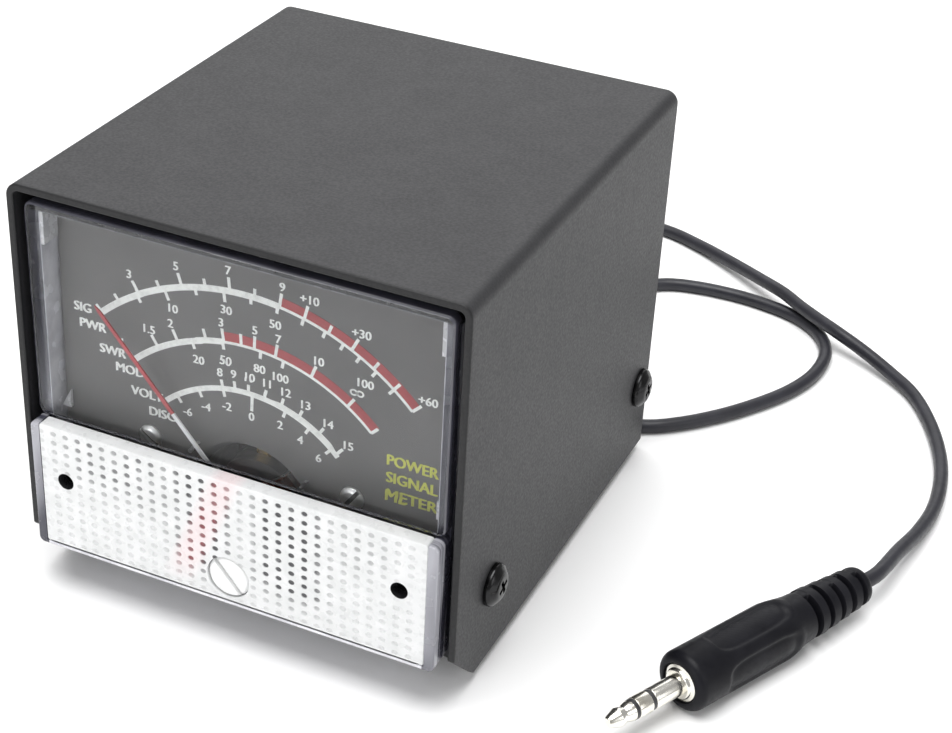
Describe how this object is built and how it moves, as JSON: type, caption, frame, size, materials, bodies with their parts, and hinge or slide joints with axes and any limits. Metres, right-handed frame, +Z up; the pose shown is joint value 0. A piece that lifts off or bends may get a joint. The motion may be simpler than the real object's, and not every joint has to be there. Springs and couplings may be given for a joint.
{
  "type": "swr meter",
  "caption": "Small radio power and standing-wave meter: folded steel case, square moving-coil dial with clear front and pale band, fixed signal lead with jack plug.",
  "frame": {"origin": "centre of the footprint on the surface the feet stand on; the lead is not counted", "axes": "+Z up; the dial faces -Y; +X is the right-hand side seen from the front; +Y runs from the dial to the rear panel"},
  "size_m": [0.1318, 0.168, 0.071],
  "materials": {
    "case_paint": "fine-texture dark grey powder coat on folded steel",
    "black_screw": "black oxide, slightly glossy",
    "rubber": "matte black rubber",
    "black_plastic": "moulded black phenolic, satin",
    "clear_plastic": "clear moulded polystyrene, textured behind the band",
    "dial_face": "matt dark grey printed plate with white, red and yellow-green print",
    "brass": "turned and stamped brass",
    "steel": "zinc-plated steel",
    "chrome": "bright nickel",
    "magnet": "ground magnet alloy and soft iron",
    "cast_alloy": "die-cast alloy",
    "aluminium": "thin aluminium",
    "copper_wire": "enamelled copper winding",
    "spring_bronze": "phosphor bronze strip",
    "pointer_paint": "aluminium blade, red enamel over the outer part and white near the hub",
    "red_wire": "red PVC insulation",
    "black_wire": "black PVC insulation",
    "cord_jacket": "satin black PVC jacket",
    "plug_body": "moulded black PVC, satin"
  },
  "bodies": {
    "housing": {"case_cover": "case_paint", "case_base": "case_paint", "case_screws": "black_screw", "rubber_feet": "rubber", "cord_grommet": "rubber", "cord_tie": "black_plastic", "inner_cord": "cord_jacket", "lead_red": "red_wire", "lead_black": "black_wire", "solder_lugs": "steel", "terminal_studs": "brass", "terminal_nuts": "brass", "terminal_washers": "steel", "meter_cover": "clear_plastic", "cover_fix_screws": "black_screw", "meter_base": "black_plastic", "mounting_studs": "brass", "mounting_nuts": "steel", "mounting_washers": "steel", "dial_plate": "dial_face", "dial_screws": "steel", "pointer_stops": "steel", "movement_frame": "cast_alloy", "frame_screws": "steel", "yoke_ring": "magnet", "core_magnet": "magnet", "core_cradle": "brass", "bridge_posts": "brass", "front_bridge": "brass", "rear_bridge": "brass", "bridge_screws": "steel", "front_jewel_screw": "brass", "rear_jewel_screw": "brass", "jewel_lock_nuts": "brass", "rear_hairspring": "spring_bronze", "cord_tube": "cord_jacket", "plug_grip": "plug_body", "plug_collar": "chrome", "plug_sleeve": "chrome", "plug_ring": "chrome", "plug_tip": "chrome", "plug_insulators": "black_plastic"},
    "pointer_assembly": {"coil_frame": "aluminium", "coil_winding": "copper_wire", "pivot_staff": "steel", "pointer": "pointer_paint", "balance_weights": "brass"},
    "zero_knob": {"zero_screw": "clear_plastic"},
    "zero_arm": {"zero_lever": "brass", "front_hairspring": "spring_bronze"}
  },
  "joints": [
    {"name": "pointer_swing", "type": "hinge", "parent": "housing", "child": "pointer_assembly", "pos_m": [0, 0, 0.023], "axis": [0, 1, 0], "range_deg": [0, 88], "stiffness_Nm_per_rad": 0.00002, "springref_deg": -17.19},
    {"name": "zero_adjust", "type": "hinge", "parent": "housing", "child": "zero_knob", "pos_m": [0, 0, 0.0137], "axis": [0, 1, 0], "range_deg": [-40, 40]},
    {"name": "zero_trim", "type": "hinge", "parent": "housing", "child": "zero_arm", "pos_m": [0, 0, 0.023], "axis": [0, 1, 0], "range_deg": [-4.2, 4.2]}
  ],
  "couplings": [
    {"joint": "zero_trim", "follows": "zero_adjust", "ratio": 0.0971}
  ]
}
